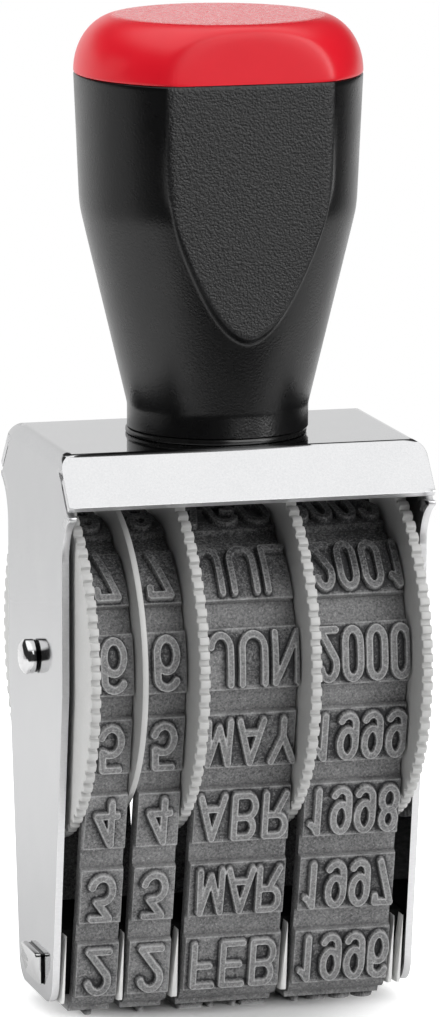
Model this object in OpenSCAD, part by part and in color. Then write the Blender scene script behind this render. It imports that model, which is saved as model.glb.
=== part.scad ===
// Hand date stamp with four turning rubber bands.
// Millimetres. X runs across the bands, Y from front to back, Z up.
// The origin is the middle of the printing face that the stamp rests on.

/* [Frame] */
// Thickness of the bent sheet steel
sheet_t = 0.75; // [0.6:0.05:0.9]
// Outside radius of the two bends between top and cheeks
bend_r = 1.25; // [1:0.05:1.6]
// Outside radius of the bend between top and lip
lip_bend_r = 0.9; // [0.6:0.1:1.2]
// Depth of the flat top, from lip bend to lip bend
web_d = 17.1; // [16.4:0.1:18]
// How far a lip reaches out past the flat top
lip_out = 3.5; // [3.2:0.05:4]
// How far a lip drops below the flat top
lip_drop = 4; // [3.8:0.1:4.6]
// Height of the flat top above the axle
web_rise = 18.8; // [18.4:0.1:20]
// Depth of a cheek at the axle
cheek_d = 19; // [18.2:0.1:20]
// Depth of a cheek at its foot, before the corners are rounded
cheek_foot_d = 11.2; // [10.4:0.1:12.4]
// How far below the axle a cheek starts to narrow
taper_drop = 1.5; // [1:0.1:2.5]
// Radius of the two foot corners of a cheek
foot_r = 2.3; // [1:0.1:2.6]
// Gap between a cheek's foot and the printing face
cheek_lift = 1.65; // [1.4:0.05:2]
// Radius of the hollow curve under a lip's end
flare_r = 4.2; // [3.8:0.1:4.4]
// Width of the slit between a lip and the cheek behind it
seam_w = 0.12; // [0.08:0.02:0.2]

/* [Handle] */
// Radius of the handle's neck
neck_r = 7.75; // [7.4:0.05:8.1]
// Radius where the taper meets the grip
knee_r = 11.8; // [11.4:0.1:12]
// Radius of the handle at the seam under the cap
grip_r = 12.3; // [12.1:0.1:12.6]
// Height of the neck's shoulder above the frame
shoulder_h = 2.5; // [2:0.1:3]
// Height of the knee above the frame
knee_h = 19.5; // [18:0.1:20.5]
// Height of the seam under the cap above the frame
seam_h = 30.9; // [29:0.1:33]
// Height of the cap above its seam
cap_h = 4.9; // [4.2:0.1:5.6]
// Radius of the cap's flat top
cap_top_r = 8.4; // [7.8:0.1:9]
// Distance of the flat front panel from the handle's axis
panel_y = 9.95; // [9.7:0.05:10.2]
// Half width of the panel where it starts to narrow
panel_w = 7.1; // [6.8:0.05:7.3]
// Height of the panel's tip above the frame
panel_tip_h = 9.5; // [8.8:0.1:10.2]
// Height above the knee at which the panel has its full width
panel_full_h = 2.4; // [2:0.1:3]
// Power of the panel's side curve, blunter at the tip when it is lower
panel_curve = 1.1; // [1:0.05:1.3]
// Radius of the hollow inside the handle
hollow_r = 7.6; // [7:0.1:8]
// Radius of the hollow at its floor
hollow_foot_r = 5.2; // [4.8:0.1:5.6]
// Height of the hollow's floor above the frame
floor_h = 4.5; // [4:0.1:6]
// Length of the cap's plug inside the handle
plug_l = 4; // [3:0.1:6]
// Wall of the cap's plug
plug_wall = 1.4; // [1:0.1:2]
// Thickness of the collar under the handle
collar_t = 0.5; // [0.3:0.05:0.8]

/* [Wheels] */
// Height of the axle above the printing face
axle_z = 31.1; // [30.5:0.1:31.8]
// Diameter of the axle
axle_d = 3; // [2.6:0.1:3.4]
// How far the axle stands out of a cheek
axle_out = 1.35; // [0.8:0.05:1.8]
// Bevel on the axle's ends
axle_bevel = 0.4; // [0.2:0.05:0.6]
// Tip radius of the knurled thumb wheels
wheel_r = 15.6; // [15.2:0.1:15.9]
// Depth of the knurl
knurl_depth = 0.5; // [0.3:0.05:0.7]
// Number of knurl teeth
knurl_n = 80; // [60:2:84]
// Share of the knurl's pitch that the foot of a tooth takes
tooth_foot = 0.7; // [0.6:0.02:0.8]
// Share of the knurl's pitch that the tip of a tooth takes
tooth_tip = 0.46; // [0.36:0.02:0.56]
// Thickness of a thumb wheel's rim
rim_t = 0.9; // [0.7:0.05:1.1]
// Radius of the smooth disc between the two digit bands
disc_r = 14; // [13.4:0.1:14.6]
// Thickness of the smooth disc
disc_t = 0.55; // [0.4:0.05:0.7]
// Number of flutes round a drum
flute_n = 19; // [12:1:24]
// Radius of a flute
flute_r = 0.7; // [0.5:0.1:0.9]

/* [Bands] */
// Number of rows on a band
row_n = 14; // [10:1:14]
// Distance from row to row along the band
row_l = 6.95; // [6.6:0.05:7.1]
// How far the printing row sits in front of the middle
row_shift = 0.8; // [0:0.05:0.9]
// Inside radius of a band where it runs over its drum
band_r = 10.25; // [10:0.05:10.4]
// Thickness of the bare band
band_t = 1; // [0.8:0.05:1.1]
// Height of a pad above the bare band
pad_h = 0.65; // [0.5:0.05:0.75]
// Height of the type above its pad
type_h = 0.55; // [0.45:0.05:0.7]
// Length of a pad along the band
pad_l = 5; // [4.7:0.1:5.6]
// Height of a character along the band
type_l = 4.4; // [4:0.1:4.6]
// Width of a digit band
digit_band_w = 3.75; // [3.5:0.05:4]
// Width of a month or year band
word_band_w = 8.55; // [8.2:0.05:9]
// Width of a digit
digit_w = 2.3; // [2:0.1:2.8]
// Width of a month's letter
letter_w = 2.45; // [2:0.05:2.5]
// Width of a year's digit
year_w = 1.85; // [1.5:0.05:1.9]
// Gap between two characters in a row
type_gap = 0.28; // [0.15:0.01:0.3]

/* [Bridge] */
// Half width of the flat under the bridge, up to its rounded edges
bridge_half = 3.9; // [3.5:0.05:4.3]
// Radius of the bridge's lower edges
bridge_edge_r = 0.3; // [0.2:0.05:0.5]
// Height of the bridge's plastic shoe
shoe_h = 6; // [5.6:0.1:7]
// Depth of the steel bar inside the shoe
bar_d = 5.2; // [4.8:0.1:5.3]
// Height of the steel bar
bar_h = 2.8; // [2.4:0.1:3]
// Height of the bar's underside above the shoe's underside
bar_lift = 0.55; // [0.45:0.05:0.8]
// How far the bar's tongues stand out of the cheeks
tongue_out = 0.7; // [0.4:0.05:1]
// Thickness of a fin's foot, as a share of the gap it stands in
fin_share = 0.8; // [0.5:0.05:0.85]
// Height of a fin above the shoe's underside
fin_h = 4.6; // [4.2:0.1:5.2]
// How far a fin stands out past the bare bands
fin_out = 0.35; // [0.1:0.05:0.5]
// Width of the fins beside the cheeks, with the gap that they stand in
cheek_fin_w = 0.5; // [0.3:0.05:0.7]

/* [Fasteners] */
// Shank diameter of the handle screw
screw_d = 4; // [3.6:0.1:4.2]
// Head diameter of the handle screw
screw_head_d = 7.6; // [7:0.1:8]
// Head height of the handle screw
screw_head_h = 2.4; // [2:0.1:2.8]
// Width of the slot in the screw's head
screw_slot_w = 1; // [0.8:0.1:1.2]
// How far the screw's end stands out of the nut
screw_tail = 0.5; // [0.3:0.1:1]
// Thickness of the washers
washer_t = 0.6; // [0.4:0.05:0.7]
// Outside diameter of the washers
washer_d = 8.4; // [8:0.1:8.6]
// Width of the nut across its flats
nut_af = 7; // [6.6:0.1:7.2]
// Thickness of the nut
nut_t = 2.2; // [1.8:0.1:2.4]

/* [Fits] */
// Gap on each side of a band
side_gap = 0.15; // [0.1:0.01:0.2]
// Radial play of the wheels on the axle
axle_play = 0.05; // [0.03:0.01:0.08]
// Gap between a drum and the band that runs over it
drum_gap = 0.15; // [0.1:0.01:0.2]
// Play between the left cheek and the first wheel
left_float = 0.12; // [0.1:0.01:0.2]
// Play between the right cheek and the last wheel
right_float = 0.42; // [0.2:0.01:0.5]
// Radial play of the screw in its holes
screw_play = 0.1; // [0.05:0.01:0.2]

/* [Hidden] */
$fn = 96;
far = 60;
// How far a cutting shape reaches past what it cuts
over = 1;
// How far a loop's straight sides are drawn in, so that they cross its arcs
tuck = 0.002;

// Stations across the stamp, from the left cheek to the right one
digit_space = digit_band_w + 2 * side_gap;
word_space = word_band_w + 2 * side_gap;
stack_w = 4 * rim_t + disc_t + 2 * digit_space + 2 * word_space;
inner_w = left_float + stack_w + right_float;
outer_w = inner_w + 2 * sheet_t;
tens_wheel_x = -inner_w / 2 + left_float;
tens_x = tens_wheel_x + rim_t;
disc_x = tens_x + digit_space;
units_x = disc_x + disc_t;
units_wheel_x = units_x + digit_space;
month_x = units_wheel_x + rim_t;
month_wheel_x = month_x + word_space;
year_x = month_wheel_x + rim_t;
year_wheel_x = year_x + word_space;

// Heights above the printing face
web_z = axle_z + web_rise;
band_low = type_h + pad_h;
shoe_z = band_low + band_t;
edge_z = shoe_z + bridge_edge_r;
bar_z = shoe_z + bar_lift;
handle_z = web_z + collar_t;
floor_z = web_z + floor_h;
seam_z = web_z + seam_h;

// Half of a band, from the middle of its flat: a small edge, a straight run and a drum arc
mid_r = band_r + band_t / 2;
edge_mid_r = bridge_edge_r + band_t / 2;
centre_l = norm([bridge_half, axle_z - edge_z]);
lean = asin((mid_r - edge_mid_r) / centre_l) - atan(bridge_half / (axle_z - edge_z));
run_l = sqrt(centre_l * centre_l - pow(mid_r - edge_mid_r, 2));
edge_l = edge_mid_r * (90 - lean) * PI / 180;
run_start = bridge_half + edge_l;
run_end = run_start + run_l;

// Points on an arc, from angle a to angle b in n steps
function arc(c, r, a, b, n) = [for (i = [0:n]) c + r * [cos(a + (b - a) * i / n), sin(a + (b - a) * i / n)]];
// The same points with Y turned round, in the opposite order
function mirrored(p) = [for (i = [len(p) - 1:-1:0]) [-p[i][0], p[i][1]]];

// Holds a drawing of the Y-Z plane and pulls it along X
module along_x(x, w) {
    translate([x, 0, 0])
        rotate([90, 0, 90])
            linear_extrude(w)
                children();
}

module pin_x(x, w, r) {
    translate([x, 0, axle_z])
        rotate([0, 90, 0])
            cylinder(h = w, r = r);
}

// Front half of the frame's side view, from the top's bend down to the cheek's foot
lip_slope = atan2(lip_drop, lip_out);
lip_tip = [-web_d / 2 - lip_out, web_z - lip_drop];
bend_cut = lip_bend_r * tan(lip_slope / 2);
bend_c = [-web_d / 2 + bend_cut, web_z - lip_bend_r];
flare_c = [-cheek_d / 2 - flare_r, lip_tip[1] - sheet_t - flare_r];
flare_a = acos((lip_tip[0] - flare_c[0]) / flare_r);
taper_z = axle_z - taper_drop;
foot_a = atan2(taper_z - cheek_lift, (cheek_d - cheek_foot_d) / 2);
foot_cut = foot_r / tan((180 - foot_a) / 2);
foot_c = [-cheek_foot_d / 2 + foot_cut, cheek_lift + foot_r];
front_side = concat(
    arc(bend_c, lip_bend_r, 90, 90 + lip_slope, 5),
    [lip_tip],
    arc(flare_c, flare_r, flare_a, 0, 10),
    [[-cheek_d / 2, taper_z]],
    arc(foot_c, foot_r, 270 - foot_a, 270, 6));

module side_view() {
    polygon(concat(front_side, mirrored(front_side)));
}

// Everything inside the sheet, open below both lips
module inside_view() {
    inner_y = -web_d / 2 + sheet_t * tan(lip_slope / 2);
    open_y = inner_y - far * cos(lip_slope);
    open_z = web_z - sheet_t - far * sin(lip_slope);
    half = [[inner_y, web_z - sheet_t], [open_y, open_z], [open_y, -far]];
    polygon(concat(half, mirrored(half)));
}

// Thin strip along the back of each lip, from below the bend, half of it taken from the lip
module slit_view() {
    start = [-web_d / 2 + sheet_t * tan(lip_slope / 2), web_z - sheet_t];
    down = [-cos(lip_slope), -sin(lip_slope)];
    back = seam_w / 2 * [sin(lip_slope), -cos(lip_slope)];
    first = start + down * (bend_r - sheet_t + seam_w) / sin(lip_slope);
    last = start + down * far;
    half = [first - back, last - back, last + back, first + back];
    polygon(half);
    polygon(mirrored(half));
}

// Bent plate seen from the front: a tall box with two round upper corners
module arch_view(w, top, r) {
    translate([-w / 2, -far])
        square([w, far + top - r]);
    translate([-w / 2 + r, -far])
        square([w - 2 * r, far + top]);
    for (s = [-1, 1])
        translate([s * (w / 2 - r), top - r])
            circle(r);
}

module arch(w, top, r, d) {
    translate([0, d / 2, 0])
        rotate([90, 0, 0])
            linear_extrude(d)
                arch_view(w, top, r);
}

module bar_shape(w, d, h) {
    translate([-w / 2, -d / 2, bar_z])
        cube([w, d, h]);
}

module frame() {
    color("silver")
        difference() {
            intersection() {
                arch(outer_w, web_z, bend_r, far);
                along_x(-outer_w / 2, outer_w)
                    side_view();
            }
            intersection() {
                arch(inner_w, web_z - sheet_t, bend_r - sheet_t, far + 2 * over);
                along_x(-outer_w / 2, outer_w)
                    inside_view();
            }
            // slits that part the lips from the cheeks behind them
            for (s = [-1, 1])
                along_x(s * (inner_w + sheet_t) / 2 - sheet_t, 2 * sheet_t)
                    slit_view();
            pin_x(-outer_w, 2 * outer_w, axle_d / 2);
            bar_shape(2 * outer_w, bar_d, bar_h);
            translate([0, 0, web_z - 2 * sheet_t])
                cylinder(h = 4 * sheet_t, r = screw_d / 2 + screw_play);
        }
}

// Round handle with a flat front panel that ends in a rounded tip
panel_rise = knee_h + panel_full_h - panel_tip_h;
function panel_side(n) = [for (i = [0:n])
    [panel_w * pow(i / n, panel_curve), web_z + panel_tip_h + panel_rise * pow(i / n, 2)]];

module panel_view() {
    side = panel_side(14);
    other = [for (i = [len(side) - 1:-1:1]) [-side[i][0], side[i][1]]];
    polygon(concat(side, [[panel_w, seam_z], [-panel_w, seam_z]], other));
}

module front_cut(bottom, top) {
    translate([-far / 2, -panel_y - far, bottom])
        cube([far, far, top - bottom]);
}

module handle_body() {
    color("black")
        difference() {
            union() {
                difference() {
                    rotate_extrude()
                        polygon([[0, handle_z], [neck_r, handle_z], [neck_r, web_z + shoulder_h],
                            [knee_r, web_z + knee_h], [grip_r, seam_z], [0, seam_z]]);
                    front_cut(web_z, seam_z + over);
                }
                translate([0, -hollow_r, 0])
                    rotate([90, 0, 0])
                        linear_extrude(panel_y - hollow_r)
                            panel_view();
            }
            rotate_extrude()
                polygon([[0, floor_z], [hollow_foot_r, floor_z], [hollow_r, web_z + knee_h],
                    [hollow_r, seam_z + over], [0, seam_z + over]]);
            translate([0, 0, web_z])
                cylinder(h = far, r = screw_d / 2 + screw_play);
        }
}

module handle_cap() {
    n = 12;
    round_r = grip_r - cap_top_r;
    crown = [for (i = [0:n]) [cap_top_r + round_r * cos(90 * i / n), seam_z + cap_h * sin(90 * i / n)]];
    color("crimson")
        difference() {
            union() {
                rotate_extrude()
                    polygon(concat([[0, seam_z]], crown, [[0, seam_z + cap_h]]));
                translate([0, 0, seam_z - plug_l])
                    cylinder(h = plug_l + over, r = hollow_r);
            }
            front_cut(seam_z - over, seam_z + far);
            translate([0, 0, seam_z - plug_l - over])
                cylinder(h = plug_l + over + cap_h / 2, r = hollow_r - plug_wall);
        }
}

module ring(z, h, r_out, r_in) {
    translate([0, 0, z])
        difference() {
            cylinder(h = h, r = r_out);
            translate([0, 0, -over])
                cylinder(h = h + 2 * over, r = r_in);
        }
}

module handle_collar() {
    color("dimgray")
        ring(web_z, collar_t, neck_r, screw_d / 2 + screw_play);
}

module screw_washer() {
    color("gainsboro")
        ring(floor_z, washer_t, washer_d / 2, screw_d / 2 + screw_play);
}

module nut_washer() {
    color("gainsboro")
        ring(web_z - sheet_t - washer_t, washer_t, washer_d / 2, screw_d / 2 + screw_play);
}

nut_z = web_z - sheet_t - washer_t - nut_t;

module handle_screw() {
    head_z = floor_z + washer_t;
    color("gainsboro")
        difference() {
            union() {
                translate([0, 0, nut_z - screw_tail])
                    cylinder(h = head_z - nut_z + screw_tail + over, r = screw_d / 2);
                translate([0, 0, head_z])
                    cylinder(h = screw_head_h, r = screw_head_d / 2);
            }
            translate([-far / 2, -screw_slot_w / 2, head_z + screw_head_h / 2])
                cube([far, screw_slot_w, screw_head_h]);
        }
}

module handle_nut() {
    color("gainsboro")
        translate([0, 0, nut_z])
            difference() {
                rotate(30)
                    cylinder(h = nut_t, r = nut_af / 2 / cos(30), $fn = 6);
                translate([0, 0, -over])
                    cylinder(h = nut_t + 2 * over, r = screw_d / 2);
            }
}

module axle() {
    half = outer_w / 2 + axle_out;
    color("gainsboro")
        translate([0, 0, axle_z])
            rotate([0, 90, 0])
                rotate_extrude()
                    polygon([[0, -half], [axle_d / 2 - axle_bevel, -half], [axle_d / 2, -half + axle_bevel],
                        [axle_d / 2, half - axle_bevel], [axle_d / 2 - axle_bevel, half], [0, half]]);
}

// Knurled rim: each tooth is a flat-topped block with a flat-bottomed gap beside it
tooth_shape = [[0, 0], [(tooth_foot - tooth_tip) / 2, 1], [(tooth_foot + tooth_tip) / 2, 1], [tooth_foot, 0]];
function tooth(a, step) = [for (k = tooth_shape)
    (wheel_r - knurl_depth * (1 - k[1])) * [cos(a + step * k[0]), sin(a + step * k[0])]];

module knurled_view() {
    step = 360 / knurl_n;
    polygon([for (i = [0:knurl_n - 1]) each tooth(i * step, step)]);
}

// One moulding: a knurled rim and a fluted drum that carries its band
module thumb_wheel(rim_x, drum_x, drum_w) {
    drum_r = band_r - drum_gap;
    color("whitesmoke")
        difference() {
            union() {
                translate([rim_x, 0, axle_z])
                    rotate([90, 0, 90])
                        linear_extrude(rim_t)
                            knurled_view();
                translate([drum_x, 0, axle_z])
                    rotate([0, 90, 0])
                        difference() {
                            cylinder(h = drum_w, r = drum_r);
                            for (i = [0:flute_n - 1])
                                rotate([0, 0, i * 360 / flute_n])
                                    translate([drum_r + flute_r / 2, 0, -over])
                                        cylinder(h = drum_w + 2 * over, r = flute_r, $fn = 24);
                        }
            }
            pin_x(-outer_w, 2 * outer_w, axle_d / 2 + axle_play);
        }
}

module tens_wheel() thumb_wheel(tens_wheel_x, tens_x, digit_space - side_gap);
module units_wheel() thumb_wheel(units_wheel_x, units_x + side_gap, digit_space - side_gap);
module month_wheel() thumb_wheel(month_wheel_x, month_x + side_gap, word_space - side_gap);
module year_wheel() thumb_wheel(year_wheel_x, year_x + side_gap, word_space - side_gap);

module spacer_disc() {
    color("whitesmoke")
        difference() {
            pin_x(disc_x, disc_t, disc_r);
            pin_x(-outer_w, 2 * outer_w, axle_d / 2 + axle_play);
        }
}

// Outline of a band's loop at a distance out from its inside face
module loop_view(out) {
    drum = band_r + out;
    edge = bridge_edge_r + out;
    n = [cos(lean), -sin(lean)];
    top = [0, axle_z] + (drum - tuck) * n;
    low = [bridge_half, edge_z] + (edge - tuck) * n;
    translate([0, axle_z])
        circle(drum);
    for (s = [-1, 1])
        translate([s * bridge_half, edge_z])
            circle(edge);
    polygon([[0, axle_z], top, low, [bridge_half, edge_z], [bridge_half, edge_z - edge],
        [-bridge_half, edge_z - edge], [-bridge_half, edge_z], [-low[0], low[1]], [-top[0], top[1]]]);
}

// Place on the band in its side view, at path place s and at a distance out from the inside face
function run_base(d) = [bridge_half, edge_z] + (d - run_start) * [sin(lean), cos(lean)];
function drum_a(d) = (d - run_end) / mid_r * 180 / PI - lean;
function edge_a(d) = (d - bridge_half) / edge_mid_r * 180 / PI - 90;
function half_place(d, out) =
    d > run_end ? [0, axle_z] + (band_r + out) * [cos(drum_a(d)), sin(drum_a(d))] :
    d > run_start ? run_base(d) + (bridge_edge_r + out) * [cos(lean), -sin(lean)] :
    d > bridge_half ? [bridge_half, edge_z] + (bridge_edge_r + out) * [cos(edge_a(d)), sin(edge_a(d))] :
    [d, shoe_z - out];
function band_place(s, out) =
    let (p = half_place(abs(s), out))
    [s < 0 ? p[0] : -p[0], p[1]];

row_s = [for (i = [0:row_n - 1]) row_l * (i - floor((row_n - 1) / 2)) + row_shift];

// Half of a length that is measured on the bare band's outside, as path length
function half_row(s, l) = l / 2 * (abs(s) > run_end ? mid_r / (band_r + band_t) : 1);

// One sector for each row, square to the band at both ends of the row, from the middle of its thickness out
module rows_view(l) {
    for (s = row_s) {
        a = s - half_row(s, l);
        b = s + half_row(s, l);
        polygon([band_place(a, band_t / 2), band_place(a, far),
            band_place(b, far), band_place(b, band_t / 2)]);
    }
}

// Closed rubber band with a row of pads, and one raised block of type for each character
module band(x, w, type_w, type_n) {
    type_span = type_n * type_w + (type_n - 1) * type_gap;
    color("gray") {
        along_x(x + side_gap, w)
            difference() {
                union() {
                    loop_view(band_t);
                    intersection() {
                        loop_view(band_t + pad_h);
                        rows_view(pad_l);
                    }
                }
                loop_view(0);
            }
        for (i = [0:type_n - 1])
            along_x(x + side_gap + (w - type_span) / 2 + i * (type_w + type_gap), type_w)
                difference() {
                    intersection() {
                        loop_view(band_t + pad_h + type_h);
                        rows_view(type_l);
                    }
                    loop_view(band_t + pad_h / 2);
                }
    }
}

module tens_band() band(tens_x, digit_band_w, digit_w, 1);
module units_band() band(units_x, digit_band_w, digit_w, 1);
module month_band() band(month_x, word_band_w, letter_w, 3);
module year_band() band(year_x, word_band_w, year_w, 4);

module bridge_bar() {
    color("silver")
        bar_shape(outer_w + 2 * tongue_out, bar_d, bar_h);
}

// Triangular fin that keeps two bands apart, thickest at its foot
module fin(x, gap) {
    foot = gap * fin_share / 2;
    intersection() {
        translate([x, far / 2, 0])
            rotate([90, 0, 0])
                linear_extrude(far)
                    polygon([[-foot, band_low], [foot, band_low], [0, shoe_z + fin_h]]);
        along_x(x - gap, 2 * gap)
            loop_view(band_t + fin_out);
    }
}

module bridge_shoe() {
    color("white")
        difference() {
            union() {
                along_x(-inner_w / 2, inner_w)
                    intersection() {
                        loop_view(0);
                        translate([-far / 2, 0])
                            square([far, shoe_z + shoe_h]);
                    }
                for (s = [-1, 1])
                    fin(s * (inner_w - cheek_fin_w) / 2, cheek_fin_w);
                fin(disc_x + disc_t / 2, disc_t + 2 * side_gap);
                fin(units_wheel_x + rim_t / 2, rim_t + 2 * side_gap);
                fin(month_wheel_x + rim_t / 2, rim_t + 2 * side_gap);
                fin(year_wheel_x + rim_t / 2, rim_t + 2 * side_gap);
            }
            bar_shape(2 * outer_w, bar_d, bar_h);
        }
}

frame();
handle_body();
handle_cap();
handle_collar();
handle_screw();
screw_washer();
nut_washer();
handle_nut();
axle();
tens_wheel();
units_wheel();
month_wheel();
year_wheel();
spacer_disc();
tens_band();
units_band();
month_band();
year_band();
bridge_bar();
bridge_shoe();
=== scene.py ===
import math

import bmesh
import bpy
import numpy as np
from mathutils import Matrix


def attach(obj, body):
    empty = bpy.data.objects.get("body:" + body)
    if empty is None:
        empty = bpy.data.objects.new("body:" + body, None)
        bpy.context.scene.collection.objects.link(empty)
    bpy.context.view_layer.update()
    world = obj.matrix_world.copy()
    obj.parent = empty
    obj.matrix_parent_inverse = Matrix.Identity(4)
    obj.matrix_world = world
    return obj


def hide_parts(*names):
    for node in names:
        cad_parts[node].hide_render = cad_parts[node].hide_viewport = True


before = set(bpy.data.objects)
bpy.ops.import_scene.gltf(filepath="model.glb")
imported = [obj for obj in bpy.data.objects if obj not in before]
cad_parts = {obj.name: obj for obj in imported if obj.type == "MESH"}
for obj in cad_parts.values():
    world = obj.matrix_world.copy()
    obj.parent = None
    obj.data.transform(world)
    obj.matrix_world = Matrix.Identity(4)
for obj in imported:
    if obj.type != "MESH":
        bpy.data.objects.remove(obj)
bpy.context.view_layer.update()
MM = 0.001

# Lengths are in millimetres from here on.
# Bent sheet frame
SHEET = 0.75
# Thickness that the sheet is drawn with
SHEET_SEEN = 0.63
# Rounding of the sheet's cut edges
EDGE_BEVEL = 0.12
OUTER_W = 31.99
INNER_W = 30.49
BEND_R = 1.25
WEB_Z = 49.9
WEB_D = 17.1
LIP_OUT = 3.5
LIP_DROP = 4.0
LIP_SLOPE = math.atan2(LIP_DROP, LIP_OUT)
LIP_BEND_R = 0.9
# How much shorter than its solid a lip is drawn
LIP_SHORT = 0.05
CHEEK_D = 19.0
CHEEK_FOOT_D = 11.2
CHEEK_LIFT = 1.65
TAPER_Z = 29.6
FOOT_R = 2.3
FLARE_R = 4.2
TIP_Z = WEB_Z - LIP_DROP
FLARE_Z = TIP_Z - SHEET - FLARE_R
# Slits between the lips and the cheeks behind them, in front and at the back
SEAM_W = 0.3
BACK_SEAM_W = 0.04
# Heights of the lip's lower edge and of the lower corner of its back, less the slit
LIP_TIP_Z = TIP_Z + LIP_SHORT
LIP_BACK_Z = LIP_TIP_Z - SHEET * math.cos(LIP_SLOPE) - SEAM_W

# Handle
NECK_R = 7.75
KNEE_R = 11.8
GRIP_R = 12.3
COLLAR_TOP = WEB_Z + 0.5
SHOULDER_Z = WEB_Z + 2.5
KNEE_Z = WEB_Z + 19.5
SEAM_Z = WEB_Z + 30.9
FLOOR_Z = WEB_Z + 4.5
CAP_H = 4.9
CAP_TOP_R = 8.4
PLUG_L = 4.0
PANEL_Y = 9.95
PANEL_W = 7.3
PANEL_TIP_Z = WEB_Z + 9.5
PANEL_FULL_Z = KNEE_Z + 2.4
HOLLOW_R = 7.6
HOLLOW_FOOT_R = 5.2
SCREW_HOLE_R = 2.1
# Size of the rounded edges on both sides of the cap's seam, and of their first step
SEAM_LIP = 0.16
SEAM_STEP = 0.05
# How the handle stands in its frame: turned, and set aside
HANDLE_TURN = math.radians(0.8)
HANDLE_OFF = 0.14
# Points round the front of the handle, and the angle up to which it follows the panel's plane
FRONT_N = 265
PANEL_REACH = 1.1

# Wheels
AXLE_Z = 31.1
AXLE_R = 1.5
AXLE_OUT = 1.35
WHEEL_R = 15.6
KNURL_DEPTH = 0.5
# Depth that the knurl is drawn with
KNURL_SEEN = 0.46
KNURL_N = 80
RIM_T = 0.9
# How far in the tens wheel's rim is drawn, and how much thinner
TENS_RIM_IN = 0.17
TENS_RIM_THIN = 0.07
DISC_R = 14.0
DISC_T = 0.55
BORE_R = 1.55
HUB_R = 7.0
DRUM_R = 10.1
FLUTE_N = 19
FLUTE_R = 0.7
TENS_WHEEL_X, UNITS_WHEEL_X, MONTH_WHEEL_X, YEAR_WHEEL_X = -15.125, -5.575, 4.175, 13.925
TENS_X, DISC_X, UNITS_X, MONTH_X, YEAR_X = -14.225, -10.175, -9.625, -4.675, 5.075
SIDE_GAP = 0.15

# Bands
DIGIT_BAND_W = 3.75
WORD_BAND_W = 8.55
ROW_L = 6.95
ROW_SHIFT = 0.8
ROW_FIRST, ROW_LAST = -6, 7
BAND_R = 10.25
BAND_T = 1.0
PAD_H = 0.65
TYPE_H = 0.55
PAD_L = 5.0
# Run of a pad's sloping edge, and of a stroke's wall
PAD_SLOPE = 0.07
WALL = 0.12
TYPE_L = 4.4
BEAD_H = 1.0
BEAD_W = 0.75
BEAD_BACK = 2.6
BRIDGE_HALF = 3.9
BRIDGE_EDGE_R = 0.3
SHOE_Z = TYPE_H + PAD_H + BAND_T
EDGE_Z = SHOE_Z + BRIDGE_EDGE_R
MID_R = BAND_R + BAND_T / 2
EDGE_MID_R = BRIDGE_EDGE_R + BAND_T / 2
CENTRE_L = math.hypot(BRIDGE_HALF, AXLE_Z - EDGE_Z)
LEAN = math.asin((MID_R - EDGE_MID_R) / CENTRE_L) - math.atan(BRIDGE_HALF / (AXLE_Z - EDGE_Z))
RUN_L = math.sqrt(CENTRE_L**2 - (MID_R - EDGE_MID_R) ** 2)
RUN_START = BRIDGE_HALF + EDGE_MID_R * (math.pi / 2 - LEAN)
RUN_END = RUN_START + RUN_L
HALF_LOOP = RUN_END + MID_R * (math.pi / 2 + LEAN)
# Shade of the bare band from 0 to 1, of its inside, and what each part of the type adds to it; the rim and pad-edge
# terms are painted highlight, the hollow and between terms painted shade
BARE_TONE = 0.32
INSIDE_TONE = 0.2
PAD_TONE = 0.02
TOP_TONE = 0.02
RIM_HIGHLIGHT_TONE = 0.58
PAD_EDGE_HIGHLIGHT_TONE = 0.26
HOLLOW_SHADE_TONE = -0.4
BETWEEN_SHADE_TONE = -0.2

# Bridge
BAR_D = 5.2
BAR_H = 2.8
BAR_Z = SHOE_Z + 0.55
TONGUE_OUT = 0.7
SHOE_H = 6.0
FIN_H = 5.8
FIN_DROP = 0.45
FIN_OUT = 0.35
# Middle and half thickness of each fin's foot
FIN_PLACES = [
    (-INNER_W / 2 + 0.28, 0.24),
    (DISC_X + DISC_T / 2, 0.31),
    (UNITS_WHEEL_X + RIM_T / 2, 0.4),
    (MONTH_WHEEL_X + RIM_T / 2, 0.38),
    (YEAR_WHEEL_X + RIM_T / 2 - 0.2, 0.3),
    (INNER_W / 2 - 0.28, 0.24),
]


# Mesh helpers
def lattice_faces(rows, cols, ring_rows=False, ring_cols=False):
    """Corner numbers of the four-sided faces of a rows x cols grid, closed on itself where a ring is asked for."""
    r, c = np.meshgrid(
        np.arange(rows if ring_rows else rows - 1),
        np.arange(cols if ring_cols else cols - 1),
        indexing="ij",
    )
    r1, c1 = (r + 1) % rows, (c + 1) % cols
    return np.stack([r * cols + c, r1 * cols + c, r1 * cols + c1, r * cols + c1], -1).reshape(-1, 4)


def lay_mesh(name, points, faces, tone=None):
    """An object from points in millimetres and four-sided faces; tone is one number for each point."""
    mesh = bpy.data.meshes.new(name)
    place = np.ascontiguousarray(points.reshape(-1, 3) * MM, dtype=np.float32)
    mesh.vertices.add(len(place))
    mesh.vertices.foreach_set("co", place.ravel())
    mesh.loops.add(faces.size)
    mesh.polygons.add(len(faces))
    mesh.polygons.foreach_set("loop_start", np.arange(0, faces.size, 4, dtype=np.int32))
    mesh.polygons.foreach_set("vertices", np.ascontiguousarray(faces, dtype=np.int32).ravel())
    mesh.update(calc_edges=True)
    if tone is not None:
        layer = mesh.attributes.new("tone", "FLOAT", "POINT")
        layer.data.foreach_set("value", np.ascontiguousarray(tone, dtype=np.float32).ravel())
    obj = bpy.data.objects.new(name, mesh)
    bpy.context.scene.collection.objects.link(obj)
    return obj


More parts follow.
